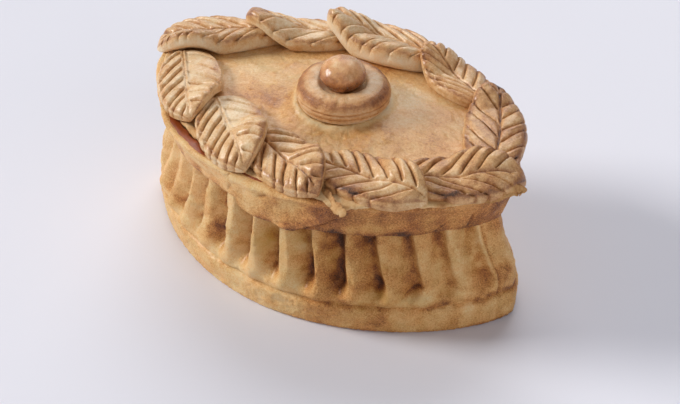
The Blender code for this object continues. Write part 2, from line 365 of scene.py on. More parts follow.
class LidSizes(bpy.types.PropertyGroup):
    """Relief of the lid, the rosette and the knob."""
    wave: length_property("Wave", "Height of the lid's slow waves", 0.9)
    wrinkle: length_property("Wrinkle", "Height of the lid's fine wrinkles", 0.42)
    layer: length_property("Layer", "Depth of the lines between flaky layers", 0.45)


class LeafSizes(bpy.types.PropertyGroup):
    """Relief of the pastry leaves."""
    cut_depth: length_property("Cut depth", "Depth of the cuts between ribs", 1.7)
    cut_width: length_property("Cut width", "Half width of the cuts between ribs", 0.55)
    rib_crown: length_property("Rib crown", "How far a rib rises between its cuts", 1.5)
    tile_step: length_property(
        "Tile step", "How far a rib's edge toward the tip stands above its other edge", 1.0)
    midrib_depth: length_property("Midrib depth", "Depth of the line along the middle", 1.9)
    scallop: length_property("Scallop", "How far each rib's end stands out", 0.9)
    press: length_property("Press", "How far a leaf is pressed into what it lies on", 0.9)
    rows: count_property("Rows", "Points along a leaf", 30, 230)


class StageSettings(bpy.types.PropertyGroup):
    """Floor, lights and camera."""
    floor: colour_property("Floor", "Colour of the floor", "#e2e2ea")
    sky: colour_property("Sky", "Colour of the light from all round", "#e4e6f0")
    sky_strength: strength_property("Sky strength", "Strength of the light from all round", 0.24)
    key_strength: strength_property("Key strength", "Strength of the wide soft light from the left", 2.7)
    back_strength: strength_property("Back strength", "Strength of the high soft light from the back", 1.55)
    fill_strength: strength_property("Fill strength", "Strength of the weak light from the right", 0.82)


# Case

# Height, half length and half width of the case's outline: under its base, up the wall, and over the lip.
BASE_ROWS = [(0, 0, 0), (0, 60, 36), (0, 100, 60.5)]
CASE_LEVELS = [
    (0, 108.4, 65.8), (0.5, 109.3, 66.5), (1.8, 110, 67.1), (8, 110.3, 67.9), (13, 110.1, 68.5),
    (14.9, 109.6, 68.1), (16.2, 108.6, 67.2), (19, 109.3, 67.5), (24, 110, 68), (30, 109.3, 67.4),
    (38, 104.6, 66.0), (49, 100.4, 64.8), (58.5, 98.4, 63.4), (59.5, 100.4, 67.0), (63, 101.8, 67.5),
    (70, 104, 67.9), (77.6, 107.2, 68.5)]
LIP_LEVELS = [
    (78.6, 107.1, 68.3), (79.2, 106.3, 67.6), (79.4, 105.3, 66.5), (79.3, 104.1, 65.3),
    (79.0, 103.2, 64.4), (78.3, 102.6, 63.8), (77.2, 102.4, 63.5), (75.8, 102.3, 63.4),
    (74.6, 102.2, 63.3), (73.8, 102.1, 63.2), (RECESS_FLOOR, 101.5, 62.8), (RECESS_FLOOR, 90, 55),
    (RECESS_FLOOR, 0, 0)]
# The lip's rows that still belong to the outside, its first row that faces the lid, and how brown that is.
LIP_OUTSIDE_ROWS = 3
LIP_INSIDE_ROW = 5
LIP_INSIDE_BAKE = 0.62

# Height of the cornice's lower edge at lengths from the +X tip along the near side.
CORNICE_EDGE = [
    (0, 58.6), (8, 58.2), (30, 59.6), (54, 58.8), (82, 59.3), (100, 59.2), (112, 57.6), (131, 58.6),
    (140, 60.2), (143.5, 62.8), (160, 63.4), (190, 61), (230, 60), (267, 60)]
# Two joins between strips of the cornice on the near side: lengths from the +X tip at heights of the first,
# and heights at lengths of the second.
FIRST_JOIN = [(60, 139.5), (62, 142), (75, 144.6), (80, 145.5)]
SECOND_JOIN = [(88, 70), (92, 67), (109.5, 57.5), (118, 54)]
# Trough in the rim's top that gravy ran into: middle and reach along the near side, lean and depth.
TROUGH_MIDDLE = 184
TROUGH_REACH = 28
TROUGH_LEAN = 2.9
TROUGH_DEPTH = 1.8
# Share of the full depth that each niche on the near side has, from the +X tip.
NEAR_RELIEF = [0.62, 0.66, 0.74, 0.9, 1.0, 1.08, 1.1, 1.08, 1.0, 1.0, 0.98, 0.95, 0.8, 0.5]
# Spots on the near side: length from the +X tip, height, radius, browning, soaking.
SPOTS = [
    (163, 34, 6.5, 0.62, 0.0), (204, 28, 6, 0.1, 0.75), (49.7, 24.5, 3.6, -0.2, 0.1),
    (134, 38, 8, -0.22, 0.55), (122, 40, 8, -0.2, 0.6), (87, 32, 7, -0.08, 0.45),
    (67, 23, 5.5, -0.22, 0.8), (66, 40, 5, 0.0, 0.5),
    (69, 6, 4.5, 0.3, 0.0), (69, 13, 3.5, 0.2, 0.0), (6, 30, 6, 0.2, 0.0), (13, 24.5, 3.5, 0.12, 0.0),
    (49, 21.5, 3.4, -0.26, 0.3), (56, 20, 4, -0.28, 0.35), (79, 63, 4.4, -0.42, 0.45),
    (72, 63, 4.4, -0.42, 0.45), (65, 63, 3.8, -0.3, 0.35), (77, 17, 4, -0.16, 0.6),
    (30, 42, 7, -0.08, 0.1), (176, 26, 6, -0.1, 0.3),
    (93, 45, 7, 0.1, 0.2)]
# Cracks on the near side: start and end as (length from the +X tip, height), and depth.
CRACKS = [
    ((128, 73), (124, 75), 0.7), ((20.3, 61), (19.6, 68), 0.9), ((57.5, 23.3), (47.4, 29.1), 1.0),
    ((150, 66), (147, 70), 0.5), ((37, 60), (32, 66), 0.6), ((108, 64), (96, 61), 0.5),
    ((62, 60), (52, 62), 0.5), ((118, 60.5), (111, 62), 0.5), ((9, 17), (10.5, 56), 0.9)]
CRACK_WIDTH = 0.75


def segment_distance(side, height, start, end):
    """Distances in mm to a line drawn on the wall between two (length from the +X tip, height) places."""
    run, climb = end[0] - start[0], end[1] - start[1]
    passed = (side - start[0]) * run + (height - start[1]) * climb
    share = np.clip(passed / (run * run + climb * climb), 0, 1)
    return np.hypot(side - start[0] - share * run, height - start[1] - share * climb)


def case_rows(wall_rows):
    """Heights, half lengths and half widths of the case's rows, from under its base to the recess floor."""
    wall = np.linspace(0, CASE_LEVELS[-1][0], wall_rows)
    heights, lengths, widths = np.array(CASE_LEVELS).T
    wall_levels = list(zip(wall, np.interp(wall, heights, lengths), np.interp(wall, heights, widths)))
    return np.array(BASE_ROWS + wall_levels + LIP_LEVELS)


def flute_relief(side, height, near):
    """How deep the niches are, from 0 to 1, and the place across each niche, from 0 at one ridge to 1."""
    place = (side - NEAR_POST) / FLUTE_PITCH
    number = np.clip(np.floor(place), 0, FLUTES_A_SIDE - 1)
    place = place + 0.05 * np.sin(height / 13 + 2.3 * number)
    across = np.clip(place - np.floor(place), 0, 1)
    fluted = (place > 0) & (place < FLUTES_A_SIDE)
    from_left = np.where(near, 1 - across, across)
    open_part = np.clip((from_left - 0.09) / 0.83, 0, 1)
    hollow = np.sin(math.pi * open_part ** np.where(near, 2.0, 1.1)) ** 0.62
    far_relief = (0.85 + 0.15 * np.sin(3.7 * number)) * smooth(14, 44, side) * smooth(6, 34, SIDE_ARC - side)
    strength = np.where(near, np.array(NEAR_RELIEF)[number.astype(int)], far_relief)
    floor_line = 20.5 + 7 * (2 * across - 1) ** 2 - 2.5 * from_left
    rise = smooth(floor_line, floor_line + 8, height)
    return np.where(fluted, hollow * strength, 0) * rise, from_left, fluted


def make_case(case, material):
    """Foot band, fluted wall, cornice of overlapping strips and the rim's inner wall."""
    rows = case_rows(case.wall_rows)
    mesh, row, share = shell_grid(len(rows), case.columns)
    level, half_length, half_width = rows[row].T
    arc = share * ROUND
    turn = turn_at(arc)
    side = np.minimum(arc, ROUND - arc)
    near = arc > SIDE_ARC
    # 1 on the near side, fading out a little way round both tips.
    front = np.where(near, 1, smooth(26, 2, np.minimum(side, SIDE_ARC - side)))
    outward = oval_outward(turn)
    lip_row = row - len(BASE_ROWS) - case.wall_rows
    outside = (row >= len(BASE_ROWS)) & (lip_row < LIP_OUTSIDE_ROWS)

    edge_heights = np.interp(side, *np.array(CORNICE_EDGE).T)
    shift = np.where(near, edge_heights, 59.6 + 0.8 * np.sin(side / 17)) - CORNICE_FOOT
    z = level + shift * hump(level, CORNICE_FOOT, 8)
    flat = oval(half_length, half_width, turn)
    base = np.column_stack([flat, z])

    hollow, from_left, fluted = flute_relief(side, z, near)
    below_cornice = 1 - smooth(58.4, 59.6, level)
    ridge = (1 - np.clip(hollow, 0, 1)) * fluted
    pedestals = hump(np.abs(((side - NEAR_POST) / FLUTE_PITCH + 0.5) % 1 - 0.5), 0, 0.24) * fluted
    waist = np.where(near, 0, smooth(3, 18, side) * smooth(90, 40, side))
    waist = waist * smooth(15.5, 25, level) * (1 - 0.6 * smooth(40, 54, level))
    push = -(case.flute_depth / MM * hollow + case.waist / MM * waist) * below_cornice
    pedestals *= smooth(10, 60, side) * smooth(10, 50, SIDE_ARC - side)
    push += case.pedestal / MM * pedestals * hump(level, 21.5, 4.5)
    # A slab of dough that stands out above the foot band.
    push += 1.1 * np.exp(-((side - 53) / 7) ** 4 - ((z - 20.5) / 3) ** 2) * near
    push -= case.seam_depth / MM * hump(level, FOOT_TOP + 0.3, 0.8)
    push += 0.5 * hump(level, 18.5, 1.6) * lumps(base, 5, seed=1, octaves=2)
    in_cornice = smooth(59.2, 60.2, level)

    first_join = side - np.interp(z, *np.array(FIRST_JOIN).T)
    over = smooth(-0.2, 0.6, -first_join) * np.exp(-np.clip(-first_join, 0, 99) / 26)
    second_join = z - np.interp(side, *np.array(SECOND_JOIN).T)
    upper = smooth(-0.5, 0.5, second_join) * np.exp(-np.clip(second_join, 0, 99) / 9) * smooth(84, 94, side)
    upper *= 1 - smooth(116, 122, side)
    second_seam = hump(second_join, -0.7, 0.7) * smooth(84, 94, side) * (side < 119)
    seams = 1.3 * hump(first_join, 1.0, 0.9) + second_seam
    seams *= in_cornice * near * (level < 78)
    push += case.join_step / MM * (over + 0.8 * upper) * in_cornice * near - 1.1 * seams
    cracks = 0 * push
    for start, end, depth in CRACKS:
        crack = hump(segment_distance(side, z, start, end), 0, CRACK_WIDTH) * near * outside
        push -= depth * crack
        cracks += depth * crack

    wide = lumps(base, 13, seed=2)
    small = lumps(base, 4.5, seed=3)
    fine = lumps(base, 1.5, seed=4, octaves=2)
    push += (case.slump / MM * wide + 0.3 * small * (1 - 0.5 * in_cornice)) * smooth(1, 6, level)
    push += case.sand / MM * fine * (1 + 1.2 * (level < FOOT_TOP))
    push += 0.6 * hump(level, 77.4, 1.5)
    push *= outside
    trough = np.exp(-((side - TROUGH_MIDDLE) / TROUGH_REACH) ** 4) * near
    push += TROUGH_LEAN * trough * np.where(lip_row < 0, smooth(64, 77, level), smooth(5, 1, lip_row))
    z = z + outside * 0.5 * hump(level, 77, 5) * lumps(base, 9, seed=5, octaves=2)
    z -= TROUGH_DEPTH * trough * smooth(1, 3, lip_row) * smooth(8, 6, lip_row)
    points = np.column_stack([flat + outward * push[:, None], np.maximum(z, 0)])

    foot = 1 - smooth(15, 16, level)
    bake_and_shade = 0.34 + 0.12 * wide + 0.08 * small - 0.12 * hump(level, 78, 1.6)
    bake_and_shade += 0.42 * seams + 0.24 * cracks
    mid = lumps(base, 7, seed=9, octaves=2)
    # Ridges are painted paler and the niches darker, most of all in a band low in each: partly painted light
    # and shade on the relief, partly browning; the lumps and pale patches in the niches are the crust's own
    # colour.
    bake_and_shade -= 0.12 * ridge * below_cornice + 0.1 * hollow * below_cornice * smooth(0.3, -0.4, wide)
    bake_and_shade += below_cornice * (hollow * (0.05 + 0.3 * mid) + 0.16 * np.clip(hollow, 0, 1) * hump(level, 28, 4))
    bake_and_shade += 0.1 * hump(level, FOOT_TOP + 0.4, 1.0) * (1 + small) + 0.14 * hump(level, 59.6, 1.6)
    belt = hump(level, 18.6, 3.0) * (0.8 + 0.5 * small)
    bake_and_shade += belt * (0.06 + (0.12 * smooth(130, 90, side) + 0.3 * smooth(52, 38, side) - 0.06) * front)
    # Darkening towards each niche's deep side, under the next ridge: partly browning, partly painted shade in
    # the recess.
    corner = hollow * below_cornice * smooth(0.45, 0.85, from_left)
    bake_and_shade += corner * (0.34 + 0.2 * hump(level, 31, 8) * smooth(40, 90, side)) * (0.8 + 0.6 * small)
    # Painted shadow under the cornice's overhang, darkening the top of each niche.
    bake_and_shade += 0.34 * hollow * hump(level, 58, 5.5 + 4.5 * smooth(105, 140, side))
    near_tone = 0.22 * smooth(120, 88, side) - 0.15 * smooth(75, 25, side) - 0.08 * hump(side, 142, 22)
    bake_and_shade += 0.06 + (near_tone - 0.06) * front
    bake_and_shade += in_cornice * (0.03 + (0.1 * smooth(125, 90, side) + 0.12 * smooth(75, 25, side)
                                  - 0.08 * smooth(125, 145, side)) * front)
    bake_and_shade += 0.38 * foot * (1 - smooth(0.6, 3.5, level)) * (0.5 + (0.65 * smooth(45, 15, side) - 0.15) * front)
    bake_and_shade = np.where(lip_row >= LIP_INSIDE_ROW, LIP_INSIDE_BAKE, bake_and_shade)
    soak = hollow * below_cornice * (0.3 + 0.4 * smooth(-0.2, 0.5, mid)) * smooth(195, 150, side)
    soak += 0.2 * below_cornice * smooth(130, 95, side) * smooth(35, 75, side) * near
    for spot_side, spot_height, radius, browning, soaking in SPOTS:
        spot = np.exp(-(((side - spot_side) / radius) ** 2 + ((z - spot_height) / radius) ** 2)) * near
        spot = spot * (0.7 + 0.5 * small)
        bake_and_shade += browning * spot
        soak += soaking * spot
    glaze = 0.25 * hollow * below_cornice + 0.15 * in_cornice
    write_piece("crust_case", mesh, points, (bake_and_shade, soak, glaze), material, "pie_case")


# Lid, margin and gravy

LID_TOP_ROWS = 92
LID_COLUMNS = 420
# Clouds in the lid's colour: place (x, y), radius, browning, soaking.
LID_CLOUDS = [
    (-32, -14, 13, 0.17, 0.0), (-50, 6, 12, -0.06, 0.0), (-46, -22, 8, 0.1, 0.0), (-42, 28, 10, 0.06, 0.0),
    (25, -16, 15, 0.05, 0.5), (6, -26, 14, 0.02, 0.45), (48, -6, 13, 0.04, 0.2), (30, 26, 15, -0.08, 0.0),
    (52, 20, 11, 0.05, 0.0), (66, 10, 10, 0.03, 0.1), (0, 44, 12, 0.08, 0.0), (-14, -34, 9, 0.0, 0.3)]
CLOUD_BROWNING = 2.1
# Where most of the egg was brushed on.
LID_SHINE = (42, 24)
LID_SHINE_RADIUS = 24


def channel_gap(share):
    """How far the lid stands in from the rim, in mm, wider where the gravy has opened a channel."""
    return LID_GAP + CHANNEL_WIDTH * np.exp(-((share - CHANNEL_SHARE) / CHANNEL_SPREAD) ** 4)


def make_lid(lid, material):
    """Domed lid with slow waves, fine wrinkles and a pale skirt of dough round the rosette."""
    rings = np.linspace(1, 0, LID_TOP_ROWS) ** 0.85
    scales = np.concatenate([[0, 0.985, 1, 1], 0.99 * rings])
    heights = np.array([RECESS_FLOOR + 0.4, RECESS_FLOOR + 0.4, RECESS_FLOOR + 2, LID_EDGE_TOP - 1.6])
    mesh, row, share = shell_grid(len(scales), LID_COLUMNS)
    turn = turn_at(share * ROUND)
    edge = oval(RECESS_HALF[0] - LID_GAP, RECESS_HALF[1] - LID_GAP, turn)
    edge -= oval_outward(turn) * channel_gap(share)[:, None]
    flat = edge * scales[row][:, None]
    top = row >= len(heights)
    z = np.where(top, lid_height(*flat.T), heights[np.minimum(row, len(heights) - 1)])
    base = np.column_stack([flat, z])
    off_centre = np.hypot(*(flat - ORNAMENT_CENTRE).T)
    inside = 1 - oval_measure(*flat.T, *RECESS_HALF)
    wide = lumps(base, 26, seed=6, octaves=2)
    small = lumps(base, 7, seed=7)
    wrinkles = lumps(base * (1, 1, 0.3), 2.6, seed=8)
    skirt = hump(off_centre, ROSETTE_RADIUS + 0.2, 1.9)
    waves = lid.wave / MM * wide * smooth(0.02, 0.3, inside)
    creases = lid.wrinkle / MM * (small + 0.6 * wrinkles)
    z = z + top * (waves + creases + 1.7 * skirt * (1 + 0.35 * small))
    bake_and_shade = 0.4 + 0.08 * wide + 0.06 * small + 0.05 * wrinkles
    bake_and_shade -= 0.36 * hump(off_centre, ROSETTE_RADIUS + 0.6, 1.6)
    bake_and_shade -= 0.08 * (1 - smooth(0, 0.08, inside))
    soak = 0.12 * skirt
    for x, y, radius, browning, soaking in LID_CLOUDS:
        cloud = np.exp(-((flat[:, 0] - x) ** 2 + (flat[:, 1] - y) ** 2) / radius ** 2) * (0.8 + 0.5 * wide)
        bake_and_shade += CLOUD_BROWNING * browning * cloud
        soak += soaking * cloud
    glaze = 0.45 + 0.2 * wide + 0.5 * hump(np.hypot(*(flat - LID_SHINE).T), 0, LID_SHINE_RADIUS)
    points = np.column_stack([flat, z])
    write_piece("crust_lid", mesh, points, (bake_and_shade, soak, glaze), material, "lid")


# Where the trimmed edge of the lid reaches on the rim, measured from the rim's inner edge:
# length from the +X tip along the near side, inner and outer reach in mm.
MARGIN_REACH = [
    (0, -2.0, 5.0), (12, -2.0, 5.6), (40, -2.0, 5.2), (70, -2.0, 4.8), (78, -2.0, 6.2), (91, -2.0, 6.6),
    (95, -2.0, 4.4), (112, -2.0, 3.0), (125, -2.5, 1.8), (150, -2.8, 1.4), (163, -4.0, 0.8),
    (180, -4.6, 0.4), (205, -4.6, 0.4), (225, -3.0, 1.2), (267, -2.0, 2.2)]
MARGIN_GRID = (16, 620)


def make_margin(material):
    """Trimmed edge of the lid on the rim, under the leaves: pale, thin layers with a torn outline."""
    mesh, phase, share = ring_grid(*MARGIN_GRID)
    arc = share * ROUND
    turn = turn_at(arc)
    near = arc > SIDE_ARC
    side = np.minimum(arc, ROUND - arc)
    reach = np.array(MARGIN_REACH).T
    inner = np.where(near, np.interp(side, reach[0], reach[1]), -2.0)
    outer = np.where(near, np.interp(side, reach[0], reach[2]), 2.2 + 0.8 * np.sin(side / 23))
    outline = np.column_stack([oval(*RECESS_HALF, turn), 0 * turn])
    ragged = lumps(outline, 6, seed=11) + 0.7 * lumps(outline, 2.0, seed=12, octaves=2)
    outer = outer + 0.8 * ragged
    angle = 2 * math.pi * phase
    across = np.copysign(np.abs(np.cos(angle)) ** 0.6, np.cos(angle))
    rise = np.copysign(np.abs(np.sin(angle)) ** 0.6, np.sin(angle))
    reach_out = inner + (outer - inner) * (0.5 + 0.5 * across)
    flat = oval(*RECESS_HALF, turn) + oval_outward(turn) * reach_out[:, None]
    droop = 0.35 * np.clip(reach_out - 4.2, 0, 9)
    z = RIM_TOP + 0.2 - droop + 1.15 * rise + 0.35 * lumps(np.column_stack([flat, 0 * turn]), 4, seed=13)
    z -= 1.2 * smooth(-1.5, -3.5, reach_out)
    lip = smooth(0.4, 0.9, across)
    bake_and_shade = 0.22 + 0.16 * lip * smooth(-0.2, 0.6, ragged) + 0.08 * ragged + 0.1 * smooth(60, 20, side)
    write_piece("crust_margin", mesh, np.column_stack([flat, z]), (bake_and_shade, 0.1, 0.15), material)


# Dried gravy: name, start and end along the near side, reach from the rim's inner edge, half width, height.
GRAVY_RUNS = [
    ("gravy_channel", 157, 213, 3.4, 2.9, 78.2), ("gravy_trace_1", 127, 141, 1.5, 1.0, 79.4),
    ("gravy_trace_2", 100, 117, 1.2, 0.8, 79.3)]
GRAVY_GRID = (120, 20)


def make_gravy(look):
    """Dried gravy in the open channel behind the rim, and a thin trace of it further along."""
    # Reduced gravy: it boiled up through the gap and baked to a glossy, red-brown film.
    material, tree, shader = empty_material("gravy_boiled_out_and_baked")
    place = add_node(tree, "ShaderNodeTexCoord").outputs["Object"]
    pools = noise_fac(tree, place, 2.5, 3.0)
    dark = (*[0.5 * channel for channel in look.gravy], 1)
    tree.links.new(mixed(tree, pools, dark, (*look.gravy, 1)), shader.inputs["Base Color"])
    gloss = add_node(tree, "ShaderNodeMapRange", {"Value": pools, "To Min": 0.24, "To Max": 0.5})
    tree.links.new(gloss.outputs["Result"], shader.inputs["Roughness"])
    add_bump(tree, shader, pools, 0.6, 0.6)

    for name, start, end, reach, width, level in GRAVY_RUNS:
        mesh, row, share = shell_grid(*GRAVY_GRID)
        along = row / (GRAVY_GRID[0] - 1)
        side = start + (end - start) * along
        turn = turn_at(ROUND - side)
        swell = np.sqrt(np.maximum(0, 1 - np.abs(2 * along - 1) ** 6))
        spread = 1 + 0.4 * np.array([noise.noise((value / 5, 1.7, level)) for value in side])
        across = width * swell * spread * np.cos(2 * math.pi * share)
        flat = oval(*RECESS_HALF, turn) + oval_outward(turn) * (reach + across)[:, None]
        wavy = 0.3 * np.array([noise.noise((value / 6, 0.4, 2.2)) for value in side])
        z = level + swell * (wavy + 0.55 * np.sin(2 * math.pi * share))
        write_piece(name, mesh, np.column_stack([flat, z]), (), material)


# Torn strips of dough on the rim: name, route of places, width, thickness, slope in degrees and lump seed.
SCRAPS = [
    ("crust_torn_flap", [(35, -57, 80.6), (40, -59.5, 80.2), (46, -61.5, 79.0), (52, -62, 77.6)],
     5.2, 1.1, -60, 61),
    ("crust_torn_frill", [(101, -17, 81.6), (106, -11.5, 82.6), (109, -7, 83.2), (112, -4, 82.6),
                          (113, -3.2, 80.6), (112, -5, 78.4)], 4.2, 1.2, -50, 62),
    ("crust_torn_edge", [(99, -20, 79.6), (105, -13.5, 80.4), (109.5, -7, 81), (111, -1, 80.4)],
     4.5, 1.4, -25, 63),
]
SCRAP_GRID = (70, 36)


def make_scrap(name, route, width, thickness, slope, seed, material):
    """Torn strip of dough along a route of places, thin and ragged at its edges."""
    mesh, row, share = shell_grid(*SCRAP_GRID)
    along = row / (SCRAP_GRID[0] - 1)
    knots = np.linspace(0, 1, len(route))
    curves = [np.polyfit(knots, values, 3) for values in np.array(route, float).T]
    path = np.column_stack([np.polyval(curve, along) for curve in curves])
    heading = np.column_stack([np.polyval(np.polyder(curve), along) for curve in curves])
    across = np.cross(heading, (0.0, 0.0, 1.0))
    across /= np.linalg.norm(across, axis=1)[:, None]
    up = np.cross(across, heading)
    up /= np.linalg.norm(up, axis=1)[:, None]
    tilt = math.radians(slope)
    across, up = across * math.cos(tilt) + up * math.sin(tilt), up * math.cos(tilt) - across * math.sin(tilt)
    turn = 2 * math.pi * share
    swell = np.maximum(0, 1 - np.abs(2 * along - 1) ** 4) ** 0.5
    ragged = lumps(path, 3, seed=seed)
    half = 0.5 * width * swell * (1 + 0.6 * ragged + 0.3 * np.sin(2 * turn + 9 * along))
    rise = 0.5 * thickness * swell * np.sin(turn)
    points = path + across * (half * np.cos(turn))[:, None] + up * rise[:, None]
    points += 0.3 * lumps(points, 1.8, seed=seed + 5)[:, None]
    bake_and_shade = 0.43 + 0.2 * ragged + 0.14 * np.abs(np.cos(turn)) ** 3
    write_piece(name, mesh, points, (bake_and_shade, 0.1, 0.1), material)


# Rosette and knob

def make_rosette(lid, material):
    """Thick round of pastry: flaky layers on its side, a rounded edge and a hollow for the knob."""
    def hollow(height):
        drop = (height - KNOB_MIDDLE) / KNOB_HALF_HEIGHT
        return KNOB_RADIUS * math.sqrt(1 - drop ** 2) + 0.45

    keys = np.array([
        (0, 84), (15, 84), (21, 86.2), (22.8, 87.6), (23.6, 89.6), (23.9, 91.6), (23.7, 93.6), (23.0, 95.4),
        (21.8, 97.0), (20.0, 98.2), (17.6, 98.9), (15, 99.1), (13.1, 98.9), (12.0, 98.2), (11.2, 97.2),
        (hollow(96.4), 96.2), (hollow(95), 94.6), (7, 92.6), (0, 92.6)])
    steps_between = 6
    fine = np.linspace(0, len(keys) - 1, (len(keys) - 1) * steps_between + 1)
    radii = np.interp(fine, np.arange(len(keys)), keys[:, 0])
    heights = np.interp(fine, np.arange(len(keys)), keys[:, 1])
    mesh, row, share = shell_grid(len(fine), ROSETTE_COLUMNS)
    turn = 2 * math.pi * share
    radius, z = radii[row], heights[row]
    ray = np.column_stack([np.cos(turn), np.sin(turn)])
    base = np.column_stack([ray * radius[:, None], z])
    wide = lumps(base, 14, seed=21, octaves=2)
    small = lumps(base, 3.5, seed=22)
    out_of_round = 1 + 0.018 * np.cos(2 * turn + 0.6) + 0.012 * np.cos(3 * turn - 1.1)
    outer_side = smooth(20.5, 22.8, radius)
    line_heights = 90.0 + 0.7 * wide, 92.7 + 0.5 * wide
    layers = sum(hump(z, line, 0.42) for line in line_heights) * outer_side
    push = (0.45 * wide + 0.22 * small - lid.layer / MM * layers) * smooth(10, 20, radius)
    flat = ORNAMENT_CENTRE + ray * ((radius + push) * out_of_round)[:, None]
    upper = smooth(96, 97.6, z)
    creases = lumps(np.column_stack([ray * 9, 0.1 * radius]), 1.6, seed=25)
    z = z + upper * (0.45 * wide + 0.2 * small + 0.22 * creases)
    bake_and_shade = 0.4 + 0.14 * wide + 0.1 * small + 0.32 * hump(radius, 21.8, 2.4) * smooth(93, 96, z)
    bake_and_shade += 0.06 * creases * upper
    bake_and_shade += 0.22 * layers + 0.1 * hump(radius, 12, 1.2) - 0.3 * (1 - smooth(87, 90, z))
    glaze = 0.35 + 0.55 * upper
    points = np.column_stack([flat, z])
    write_piece("crust_rosette", mesh, points, (bake_and_shade, 0, glaze), material, "rosette")


def make_knob(lid, material):
    """Slightly flattened ball of egg-glazed pastry, folded a little on its side."""
    mesh, row, share = shell_grid(*KNOB_GRID)
    tilt = math.pi * (row / (KNOB_GRID[0] - 1) - 0.5)
    turn = 2 * math.pi * share
    level = np.cos(tilt)
    shape = np.column_stack([np.cos(turn) * level * KNOB_RADIUS, np.sin(turn) * level * KNOB_RADIUS,
                             np.sin(tilt) * KNOB_HALF_HEIGHT])
    wide = lumps(shape, 10, seed=23, octaves=2)
    small = lumps(shape, 2.6, seed=24)
    off_fold = np.abs(np.angle(np.exp(1j * (turn + 2.35 + 0.8 * tilt))))
    fold = hump(off_fold, 0, 0.1) * hump(tilt, 0.1, 0.6)
    scale = 1 + (0.55 * wide + 0.16 * small - lid.layer / MM * fold) / KNOB_RADIUS
    points = shape * scale[:, None]
    points[:, :2] += ORNAMENT_CENTRE
    points[:, 2] += KNOB_MIDDLE
    # A darker band below the ball's middle: partly browning, partly painted shade on its underside.
    bake_and_shade = 0.46 + 0.18 * wide + 0.12 * small + 0.42 * hump(tilt, -0.28, 0.44)
    glaze = 0.75 + 0.2 * wide
    write_piece("crust_knob", mesh, points, (bake_and_shade, 0, glaze), material, "knob")


# Leaves

class Ribs:
    """Ribs on half a leaf: how many, angle from the midrib, how strong, and where along it they begin."""

    def __init__(self, count, angle, strength=1.0, late=0.0):
        self.count = count
        self.angle = angle
        self.strength = strength
        self.late = late


class Leaf:
    """One pastry leaf: ends of its midrib, half widths outside and inside, thickness, bend and ribs.

    Spots are (share of the length, share of the half width, radius, browning).
    """

    def __init__(self, base, tip, outer, inner, thickness, bend, outer_ribs, inner_ribs, plain_tip=4.0,
                 tip_lift=0.0, tip_browning=0.25, browning=0.0, plain_base=2.0, widest=0.5, wall=0.0,
                 inner_lift=0.0, midrib=1.0, spots=()):
        self.base = np.array(base, float)
        self.tip = np.array(tip, float)
        self.length = np.linalg.norm(self.tip - self.base)
        along = (self.tip - self.base) / self.length
        self.across = np.array((along[1], -along[0]))
        if self.across @ (self.base + self.tip) < 0:
            self.across = -self.across
        self.outer = outer
        self.inner = inner
        self.thickness = thickness
        self.bend = bend
        self.outer_ribs = outer_ribs
        self.inner_ribs = inner_ribs
        self.plain_tip = plain_tip
        self.plain_base = plain_base
        self.tip_lift = tip_lift
        self.tip_browning = tip_browning
        self.browning = browning
        self.skew = math.log(0.5) / math.log(widest)
        self.wall = wall
        self.inner_lift = inner_lift
        self.midrib = midrib
        self.spots = spots

    def half_width(self, along, side):
        """Half width in mm on the side that a point lies on."""
        lens = np.maximum(0, 1 - np.abs(2 * along ** self.skew - 1) ** LEAF_LENS_POWER) ** LEAF_LENS_FULLNESS
        return np.where(side > 0, self.outer, self.inner) * lens

    def plan(self, along, side):
        """Level places at shares of the length and of the half width, outside positive."""
        out = self.bend * 4 * along * (1 - along) + self.half_width(along, side) * side
        return self.base + (self.tip - self.base) * along[:, None] + self.across * out[:, None]


# Ribs on the inner half of two leaves at the front, faint until well along the leaf.
LATE_RIBS = {"count": 6, "strength": 0.95, "late": 0.62}

